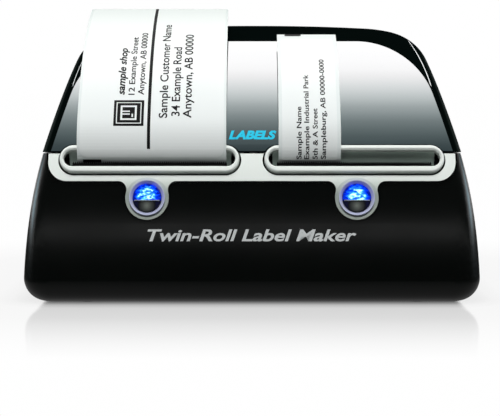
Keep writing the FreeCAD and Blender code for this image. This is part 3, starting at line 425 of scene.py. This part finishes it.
def board_material():
    """Printed circuit board: green mask over faint copper tracks."""
    material, graph, shader = new_material("board_green", Roughness=0.35)
    place = graph.coordinates()
    bricks = graph.add("ShaderNodeTexBrick")
    bricks.inputs["Scale"].default_value = 180.0
    bricks.inputs["Mortar Size"].default_value = 0.06
    graph.link(place, bricks.inputs["Vector"])
    graph.link(graph.mix(bricks.outputs["Fac"], (0.01, 0.10, 0.05), (0.05, 0.22, 0.10)),
               shader.inputs["Base Color"])
    return material


def ink_material(name, colour, roughness=0.5):
    """Printed ink: an even colour with a faint thermal-print unevenness."""
    material, graph, shader = new_material(name, Roughness=roughness, Specular_IOR_Level=0.2)
    speckle = graph.noise(graph.coordinates(), 5000.0, detail=2.0)
    lighter = tuple(min(1.0, c * 1.15 + 0.002) for c in colour)
    graph.link(graph.mix(speckle, colour, lighter), shader.inputs["Base Color"])
    return material


MATERIALS = {
    "casing": casing_material(),
    "cover_frame": cover_frame_material(),
    "mirror_panel": mirror_panel_material(),
    "silver_trim": silver_trim_material(),
    "button_chrome": textured("button_chrome", (0.55, 0.59, 0.80), 0.25, spread=0.02, grain=900.0,
                              depth=0.000003, Metallic=0.3),
    "button_black": button_black_material(),
    "blue_lens": lens_material(),
    "chute_grey": textured("chute_grey", (0.44, 0.55, 0.49), 0.20, spread=0.03, grain=900.0, depth=0.00001),
    "inner_plastic": textured("inner_plastic", (0.022, 0.024, 0.027), 0.5, depth=0.00003),
    "blade_steel": metal_material("blade_steel", (0.03, 0.032, 0.031), 0.35, (0.1, 1, 1)),
    "plate_steel": metal_material("plate_steel", (0.55, 0.56, 0.56), 0.32, (1, 0.1, 1)),
    "shaft_steel": metal_material("shaft_steel", (0.62, 0.63, 0.64), 0.22, (1, 1, 1)),
    "aluminium": metal_material("aluminium", (0.72, 0.73, 0.74), 0.38, (0.05, 1, 1)),
    "head_ceramic": textured("head_ceramic", (0.62, 0.59, 0.50), 0.2),
    "gear_plastic": textured("gear_plastic", (0.78, 0.76, 0.68), 0.45),
    "bronze": metal_material("bronze", (0.50, 0.30, 0.12), 0.4),
    "rubber_black": rubber_material(),
    "board_green": board_material(),
    "switch_black": textured("switch_black", (0.02, 0.02, 0.02), 0.4),
    "motor_can": metal_material("motor_can", (0.50, 0.51, 0.53), 0.3, (0.1, 1, 1)),
    "socket_metal": metal_material("socket_metal", (0.60, 0.60, 0.60), 0.3),
    "label_paper": paper_material("label_paper", (0.86, 0.87, 0.86), shaded=True),
    "liner_paper": paper_material("liner_paper", (0.78, 0.81, 0.80), shaded=True),
    "spool_plastic": textured("spool_plastic", (0.42, 0.45, 0.48), 0.35),
}


def dress_nodes():
    wound = roll_material()
    for entry in RECORD["subparts"]:
        node = NODES[entry["node"]]
        material = MATERIALS[entry["material_slot"]]
        if entry["node"].startswith("label_roll"):
            material = wound
        node.data.materials.clear()
        node.data.materials.append(material)


# ------------------------------------------------------------------ surfaces that carry print
def face_point(x, arc, lift):
    """A point on the front of the base; arc is measured up its curve from the widest height."""
    lean = arc / FACE_R
    radius = FACE_R + lift
    return Vector((x, FACE_Y - radius * math.cos(lean), FACE_Z + radius * math.sin(lean)))


def cover_point(x, arc, lift):
    """A point on the front of the cover; arc is measured up its curve from the arc's centre height."""
    lean = arc / COVER_R
    radius = COVER_R + lift
    return Vector((x, COVER_Y - radius * math.cos(lean), COVER_Z + radius * math.sin(lean)))


def strip_arcs(name):
    """The three arcs of a strip's outer face, from the slot up: centre, radius, start and end lean."""
    reach, end = UPPER_BEND[name]
    first = (SLOT_TURN[0] + LOWER_BEND_R * math.cos(SLOT_LEAN),
             SLOT_TURN[1] - LOWER_BEND_R * math.sin(SLOT_LEAN))
    second = (first[0] - LOWER_BEND_R + MIDDLE_BEND_R, first[1])
    third = (second[0] + (reach - MIDDLE_BEND_R) * math.cos(MIDDLE_LEAN),
             second[1] - (reach - MIDDLE_BEND_R) * math.sin(MIDDLE_LEAN))
    return [(first, LOWER_BEND_R + PAPER_OUT, SLOT_LEAN, 0.0),
            (second, MIDDLE_BEND_R + PAPER_OUT, 0.0, MIDDLE_LEAN),
            (third, reach + PAPER_OUT, MIDDLE_LEAN, end)]


def strip_point(name, x, run, lift):
    """A point on a label strip; run is measured along the paper from the slot."""
    for centre, radius, start, end in strip_arcs(name):
        length = (end - start) * radius
        if run <= length or end > MIDDLE_LEAN:
            break
        run -= length
    lean = start + run / radius
    out = radius + lift
    return Vector((x, centre[0] - out * math.cos(lean), centre[1] + out * math.sin(lean)))


# ------------------------------------------------------------------ mesh helpers
def add_piece(name, mesh, material, body):
    piece = bpy.data.objects.new(name, mesh)
    bpy.context.scene.collection.objects.link(piece)
    mesh.materials.clear()
    mesh.materials.append(material)
    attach(piece, body)
    return piece


def slice_mesh(bm, axis, low, high):
    """Cut flat faces into narrow bands so that they can be wrapped round a curve."""
    normal = Vector((0, 0, 0))
    normal[axis] = 1.0
    count = int((high - low) / BAND)
    for k in range(1, count + 1):
        cut = Vector((0, 0, 0))
        cut[axis] = low + k * BAND
        parts = bm.verts[:] + bm.edges[:] + bm.faces[:]
        bmesh.ops.bisect_plane(bm, geom=parts, plane_co=cut, plane_no=normal)


def flat_text(body, cap_height, width, shear=0.0, bold=0.0):
    """Flat lettering in the XY plane, starting at the origin, scaled to a cap height and a width."""
    curve = bpy.data.curves.new("lettering", "FONT")
    curve.body = body
    curve.size = 1.0
    curve.shear = shear
    curve.offset = bold
    curve.resolution_u = 4
    holder = bpy.data.objects.new("lettering", curve)
    bpy.context.scene.collection.objects.link(holder)
    bpy.context.view_layer.update()
    mesh = bpy.data.meshes.new_from_object(holder)
    bpy.data.objects.remove(holder)
    low = min(v.co.x for v in mesh.vertices)
    high = max(v.co.x for v in mesh.vertices)
    for v in mesh.vertices:
        v.co.x = (v.co.x - low) * width / (high - low)
        v.co.y *= cap_height / FONT_CAP
        v.co.z = 0.0
    return mesh


def wrap(mesh, place, axis):
    """Cut a flat mesh into bands along one axis, then move every point by place(x, y)."""
    bm = bmesh.new()
    bm.from_mesh(mesh)
    values = [v.co[axis] for v in bm.verts]
    slice_mesh(bm, axis, min(values), max(values))
    for v in bm.verts:
        v.co = place(v.co.x, v.co.y)
    bm.to_mesh(mesh)
    bm.free()


def flat_shapes(loops):
    """A flat mesh of separate polygons, each a list of x, y pairs."""
    mesh = bpy.data.meshes.new("shapes")
    points = []
    faces = []
    for loop in loops:
        faces.append(tuple(range(len(points), len(points) + len(loop))))
        points += [(x, y, 0.0) for x, y in loop]
    mesh.from_pydata(points, [], faces)
    return mesh


def rectangle(x0, y0, x1, y1):
    return [(x0, y0), (x1, y0), (x1, y1), (x0, y1)]


def outline_bars(x0, y0, x1, y1, width):
    """Four bars that draw a rectangle's outline."""
    return [rectangle(x0, y0, x1, y0 + width), rectangle(x0, y1 - width, x1, y1),
            rectangle(x0, y0 + width, x0 + width, y1 - width),
            rectangle(x1 - width, y0 + width, x1, y1 - width)]


# ------------------------------------------------------------------ printed labels
def sticker_rows(start, end, corner, top_corner):
    """Where a sticker's rows of points lie along the strip; they are closer in its rounded corners."""
    rows = [start + corner * (1 - math.cos(math.pi / 2 * k / CORNER_STEPS)) for k in range(CORNER_STEPS)]
    count = int((end - start) / STICKER_STEP)
    rows += [start + corner + (end - start - corner - top_corner) * k / count for k in range(count + 1)]
    if top_corner > 0:
        rows += [end - top_corner * (1 - math.sin(math.pi / 2 * k / CORNER_STEPS))
                 for k in range(1, CORNER_STEPS + 1)]
    return rows


def corner_inset(radius, depth):
    """How far a rounded corner draws the side edge in, at a depth measured from the corner's end."""
    if depth <= 0:
        return 0.0
    return radius - math.sqrt(max(radius ** 2 - depth ** 2, 0.0))


def sheet_faces(bm, front, back):
    """Close two grids of points into a thin sheet."""
    last = len(front) - 1
    side = len(front[0]) - 1
    for j in range(last):
        for k in range(side):
            bm.faces.new((front[j][k], front[j][k + 1], front[j + 1][k + 1], front[j + 1][k]))
            bm.faces.new((back[j][k], back[j + 1][k], back[j + 1][k + 1], back[j][k + 1]))
        bm.faces.new((front[j][0], front[j + 1][0], back[j + 1][0], back[j][0]))
        bm.faces.new((front[j][side], back[j][side], back[j + 1][side], front[j + 1][side]))
    for k in range(side):
        bm.faces.new((front[0][k], back[0][k], back[0][k + 1], front[0][k + 1]))
        bm.faces.new((front[last][k], front[last][k + 1], back[last][k + 1], back[last][k]))


def sticker(name, x0, x1, start, end, corner, top_corner):
    """The self-adhesive label: a thin curved sheet with rounded corners on its backing paper."""
    bm = bmesh.new()
    layers = []
    for lift in (0.0, -STICKER_T):
        grid = []
        for run in sticker_rows(start, end, corner, top_corner):
            inset = corner_inset(corner, corner - (run - start))
            inset += corner_inset(top_corner, top_corner - (end - run))
            left, right = x0 + inset, x1 - inset
            step = (right - left) / STICKER_COLUMNS
            grid.append([bm.verts.new(strip_point(name, left + step * k, run, lift))
                         for k in range(STICKER_COLUMNS + 1)])
        layers.append(grid)
    sheet_faces(bm, *layers)
    mesh = bpy.data.meshes.new("sticker_" + name)
    bm.normal_update()
    bm.to_mesh(mesh)
    bm.free()
    piece = add_piece("sticker_" + name, mesh, MATERIALS["label_paper"], "base")
    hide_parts("label_sticker_" + name)


def label_lines(name, lines, ink):
    """Lines of print that run up a strip, their letters' tops towards the left."""
    for index, (text, baseline, run, length, cap_height, shear, bold) in enumerate(lines, 1):
        mesh = flat_text(text, cap_height * MM, length * MM, shear, bold)
        across, start = baseline * MM, run * MM
        wrap(mesh, lambda x, y: strip_point(name, across - y, start + x, INK), 0)
        add_piece("print_%s_%d" % (name, index), mesh, ink, "base")


def label_patch(title, name, loops, ink, lift=INK):
    """Flat shapes printed on a strip; each point is x across the strip, then the run up it."""
    mesh = flat_shapes([[(run, x) for x, run in loop] for loop in loops])
    wrap(mesh, lambda run, x: strip_point(name, x, run, lift), 0)
    add_piece(title, mesh, ink, "base")


def parcel_sign(ink, paper):
    """A square sign beside the sender's lines: a plain parcel in white on black."""
    x0, x1, run0, run1 = -65.5 * MM, -51.2 * MM, 17.9 * MM, 31.8 * MM
    label_patch("sign_square", "left", [rectangle(x0, run0, x1, run1)], ink)
    line = 0.9 * MM
    edge = 1.2 * MM
    shapes = outline_bars(x0 + edge, run0 + edge, x1 - edge, run1 - edge, 0.45 * MM)
    left, right, low, high = x0 + 3.2 * MM, x1 - 3.4 * MM, run0 + 3.0 * MM, run1 - 3.0 * MM
    middle = (low + high) / 2
    shapes += outline_bars(left, low, right, high, line)
    bar_end = (left + right) / 2 + 0.6 * MM
    shapes.append(rectangle(left + line, middle - 1.1 * MM, bar_end, middle - 0.4 * MM))
    shapes.append(rectangle(left + line, middle + 0.4 * MM, bar_end, middle + 1.1 * MM))
    shapes.append(rectangle(right - 2.4 * MM, low + 1.6 * MM, right - 1.7 * MM, middle - 0.6 * MM))
    label_patch("sign_parcel", "left", shapes, paper, INK + 0.03 * MM)


def printed_labels():
    ink = ink_material("label_ink", (0.004, 0.004, 0.004))
    lo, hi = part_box("label_liner_left")
    sticker("left", lo[0] + 1.3 * MM, hi[0] - 1.2 * MM, 2.6 * MM, 111.0 * MM, 4.0 * MM, 0.0)
    lo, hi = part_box("label_liner_right")
    sticker("right", lo[0] + 1.7 * MM, hi[0] - 1.7 * MM, 0.9 * MM, 77.2 * MM, 0.6 * MM, 2.6 * MM)

    label_lines("left", LEFT_LINES, ink)
    label_patch("label_divider", "left", [rectangle(-49.5 * MM, 6.9 * MM, -48.0 * MM, 110.9 * MM)], ink)
    parcel_sign(ink, MATERIALS["label_paper"])
    label_patch("index_mark_left", "left", [rectangle(-80.0 * MM, -0.6 * MM, -71.3 * MM, 1.5 * MM)], ink)

    label_lines("right", RIGHT_LINES, ink)
    label_patch("index_mark_right", "right", [rectangle(16.4 * MM, 80.6 * MM, 24.5 * MM, 82.6 * MM)], ink)


# ------------------------------------------------------------------ marks, seams and button lines
def casing_mark():
    """Generic lettering on the front of the base."""
    width, cap_height = MARK_SIZE
    mesh = flat_text("Twin-Roll Label Maker", cap_height, width, shear=0.25, bold=0.022)
    base_arc = math.asin((MARK_Z - FACE_Z) / FACE_R) * FACE_R
    wrap(mesh, lambda x, up: face_point(x - width / 2, base_arc + up, INK), 1)
    add_piece("casing_mark", mesh, ink_material("mark_grey", (0.45, 0.47, 0.47), 0.4), "base")


def panel_mark():
    """Generic cyan lettering on the cover's panel, between the two strips."""
    width, cap_height = PANEL_MARK_SIZE
    mesh = flat_text("LABELS", cap_height, width, shear=0.25, bold=0.05)
    base_arc = math.asin((PANEL_MARK_Z - COVER_Z) / COVER_R) * COVER_R
    wrap(mesh, lambda x, up: cover_point(x - width / 2 + PANEL_MARK_X, base_arc + up, INK), 1)
    add_piece("panel_mark", mesh, ink_material("mark_cyan", (0.02, 0.48, 0.68), 0.4), "cover")


def tube(name, path, radius, material, body, sides=8):
    """A round bead along a list of points, closed at both ends."""
    bm = bmesh.new()
    rings = []
    for k, point in enumerate(path):
        before = path[max(k - 1, 0)]
        after = path[min(k + 1, len(path) - 1)]
        along = (after - before).normalized()
        first = along.cross(Vector((0, 1, 0))).normalized()
        second = along.cross(first)
        rings.append([bm.verts.new(point + (first * math.cos(a) + second * math.sin(a)) * radius)
                      for a in (2 * math.pi * j / sides for j in range(sides))])
    for first, second in zip(rings, rings[1:]):
        for j in range(sides):
            bm.faces.new((first[j], first[(j + 1) % sides], second[(j + 1) % sides], second[j]))
    bm.faces.new(list(reversed(rings[0])))
    bm.faces.new(rings[-1])
    bmesh.ops.recalc_face_normals(bm, faces=bm.faces)
    for face in bm.faces:
        face.smooth = True
    mesh = bpy.data.meshes.new(name)
    bm.to_mesh(mesh)
    bm.free()
    add_piece(name, mesh, material, body)


def cover_seam_highlights():
    """Bright metal bead along each crease between the cover's front and its flanks, a painted highlight on
    the crease.
    """
    shell = BVHTree.FromObject(NODES["cover_shell"], bpy.context.evaluated_depsgraph_get())
    # Painted highlight: a near-white metal bead stands in for the bright line that the crease catches.
    bright = metal_material("seam_painted_highlight", (0.95, 0.97, 0.97), 0.2)
    for side, sign in SIDES.items():
        path = []
        for k in range(SEAM_STEPS + 1):
            t = k / SEAM_STEPS
            x = SEAM_LOW[0] + (SEAM_HIGH[0] - SEAM_LOW[0]) * t + SEAM_BOW * 4 * t * (1 - t)
            z = SEAM_LOW[1] + (SEAM_HIGH[1] - SEAM_LOW[1]) * t
            hit = shell.ray_cast(Vector((sign * x, -0.3, z)), Vector((0, 1, 0)))[0]
            if hit is not None:
                path.append(hit + Vector((0, -SEAM_LIFT, 0)))
        tube("seam_" + side, path, SEAM_R, bright, "cover")


def button_lines():
    """A fine pale bar across each button, between its lens and its lower half."""
    bright = metal_material("line_bright", (0.80, 0.90, 0.86), 0.3)
    arc = math.asin((BUTTON_Z - BUTTON_LINE_DROP - FACE_Z) / FACE_R) * FACE_R
    places = (-BUTTON_LINE_HALF, -4.0 * MM, 0.0, 4.0 * MM, BUTTON_LINE_HALF)
    for side, sign in SIDES.items():
        path = [face_point(sign * BUTTON_X + place, arc, BUTTON_LINE_LIFT) for place in places]
        tube("button_line_" + side, path, BUTTON_LINE_R, bright, "button_" + side)


# ------------------------------------------------------------------ studio
def studio_world():
    """White to the camera; a graded overhead softbox and two side strips in reflections."""
    world = bpy.data.worlds.new("studio")
    bpy.context.scene.world = world
    world.use_nodes = True
    graph = Graph(world.node_tree)
    output = graph.add("ShaderNodeOutputWorld")
    path = graph.add("ShaderNodeLightPath")
    source = graph.add("ShaderNodeTexCoord")
    split = graph.add("ShaderNodeSeparateXYZ")
    graph.link(source.outputs["Generated"], split.inputs[0])
    x, y, z = split.outputs
    front = graph.math("MULTIPLY", y, -1.0)
    arch = graph.math("DIVIDE", graph.math("ARCTAN2", z, front), math.pi)
    stops = LOW_STRIP + SOFTBOX + REAR_WALL
    graded = graph.ramp(arch, [(angle / 180.0, level / BRIGHTEST) for angle, level in stops])
    graded = graph.mix(1.0, graded, (BRIGHTEST, BRIGHTEST, BRIGHTEST), "MULTIPLY")
    azimuth = graph.math("ARCTAN2", graph.math("ABSOLUTE", x), front)
    strip = graph.ramp(graph.math("DIVIDE", azimuth, math.pi),
                       [(0.53, 0.0), (0.57, 1.0), (0.64, 1.0), (0.69, 0.0)])
    low = graph.ramp(z, [(0.03, 0.0), (0.09, 1.0), (0.22, 1.0), (0.36, 0.0)])
    strip = graph.mix(1.0, graph.mix(1.0, strip, low, "MULTIPLY"), (2.6, 3.5, 3.9), "MULTIPLY")
    glossy = graph.mix(1.0, graded, strip, "ADD")
    shine = graph.glow("ShaderNodeBackground", glossy)
    sky = graph.glow("ShaderNodeBackground", graph.ramp(z, [(0.0, 0.12), (0.5, 0.24), (0.8, 0.50)]))
    plain = graph.glow("ShaderNodeBackground", (1.0, 1.0, 1.0))
    lit = graph.choose(path.outputs["Is Camera Ray"], sky, plain)
    final = graph.choose(path.outputs["Is Glossy Ray"], lit, shine)
    graph.link(final, output.inputs[0])


def sun_light():
    """The key light: a soft sun from the front and above that leaves no mirror image."""
    light = bpy.data.lights.new("key_light", "SUN")
    light.energy = SUN_POWER
    light.angle = math.radians(24.0)
    lamp = bpy.data.objects.new("key_light", light)
    bpy.context.scene.collection.objects.link(lamp)
    lamp.rotation_euler = (math.pi / 2 - SUN_HEIGHT, 0.0, 0.0)
    lamp.visible_glossy = False


def floor_distance(graph):
    """How far a floor point lies outside the patch under the machine, as a shader value."""
    over = []
    for place, half in zip(graph.axes(), FOOTPRINT):
        beyond = graph.math("SUBTRACT", graph.math("ABSOLUTE", place), half)
        over.append(graph.math("MAXIMUM", beyond, 0.0))
    return graph.distance(*over)


def floor_material():
    """White with a fading mirror image to the camera; to reflections, a painted contact shade with a paler
    painted ring around it; a flat grey to every other ray.
    """
    material = bpy.data.materials.new("floor")
    material.use_nodes = True
    graph = Graph(material.node_tree)
    output = graph.add("ShaderNodeOutputMaterial")
    path = graph.add("ShaderNodeLightPath")
    spread = graph.range(floor_distance(graph), 0.0, FLOOR_FADE, 0.0, 1.0)
    mirror = graph.ramp(spread, [(0.0, 0.99), (0.055, 0.945), (0.10, 0.75), (0.14, 0.50), (0.20, 0.34),
                                 (0.39, 0.285), (0.51, 0.21), (0.67, 0.13), (0.82, 0.06), (1.0, 0.0)])
    # Painted contact shade seen in reflections: dark under the machine, with a paler painted ring around
    # it, fading out.
    painted_contact_shade_and_glow = graph.ramp(spread, [(0.0, 0.03), (0.09, 0.06), (0.16, 0.27), (0.34, 0.16), (0.62, 0.03),
                                (1.0, 0.015)])
    mottle = graph.noise(graph.coordinates(), 3.0)
    seen = graph.glow("ShaderNodeEmission", graph.mix(mottle, (0.995, 0.995, 0.995), (1.0, 1.0, 1.0)))
    gloss = graph.add("ShaderNodeBsdfGlossy")
    gloss.inputs["Roughness"].default_value = 0.10
    shown = graph.choose(mirror, seen, gloss.outputs[0])
    reflected = graph.glow("ShaderNodeEmission", painted_contact_shade_and_glow)
    bounce = graph.glow("ShaderNodeEmission", (0.10, 0.10, 0.10))
    indirect = graph.choose(path.outputs["Is Glossy Ray"], bounce, reflected)
    final = graph.choose(path.outputs["Is Camera Ray"], indirect, shown)
    graph.link(final, output.inputs[0])
    return material


def floor():
    """A white studio floor with a soft mirror image near the machine."""
    bpy.ops.mesh.primitive_grid_add(x_subdivisions=4, y_subdivisions=4, size=FLOOR_SIZE)
    ground = bpy.context.active_object
    ground.name = "floor"
    ground.data.materials.append(floor_material())


def camera():
    data = bpy.data.cameras.new("camera")
    data.lens = LENS
    data.sensor_width = 36.0
    data.clip_start = 0.01
    data.clip_end = 200.0
    eye = bpy.data.objects.new("camera", data)
    bpy.context.scene.collection.objects.link(eye)
    eye.location = CAMERA_AT
    eye.rotation_euler = (math.pi / 2 - CAMERA_PITCH, 0.0, 0.0)
    bpy.context.scene.camera = eye


def studio():
    studio_world()
    sun_light()
    floor()
    camera()
    bpy.context.scene.view_settings.view_transform = "Standard"
    bpy.context.scene.view_settings.look = "None"


dress_nodes()
printed_labels()
casing_mark()
panel_mark()
cover_seam_highlights()
button_lines()
studio()
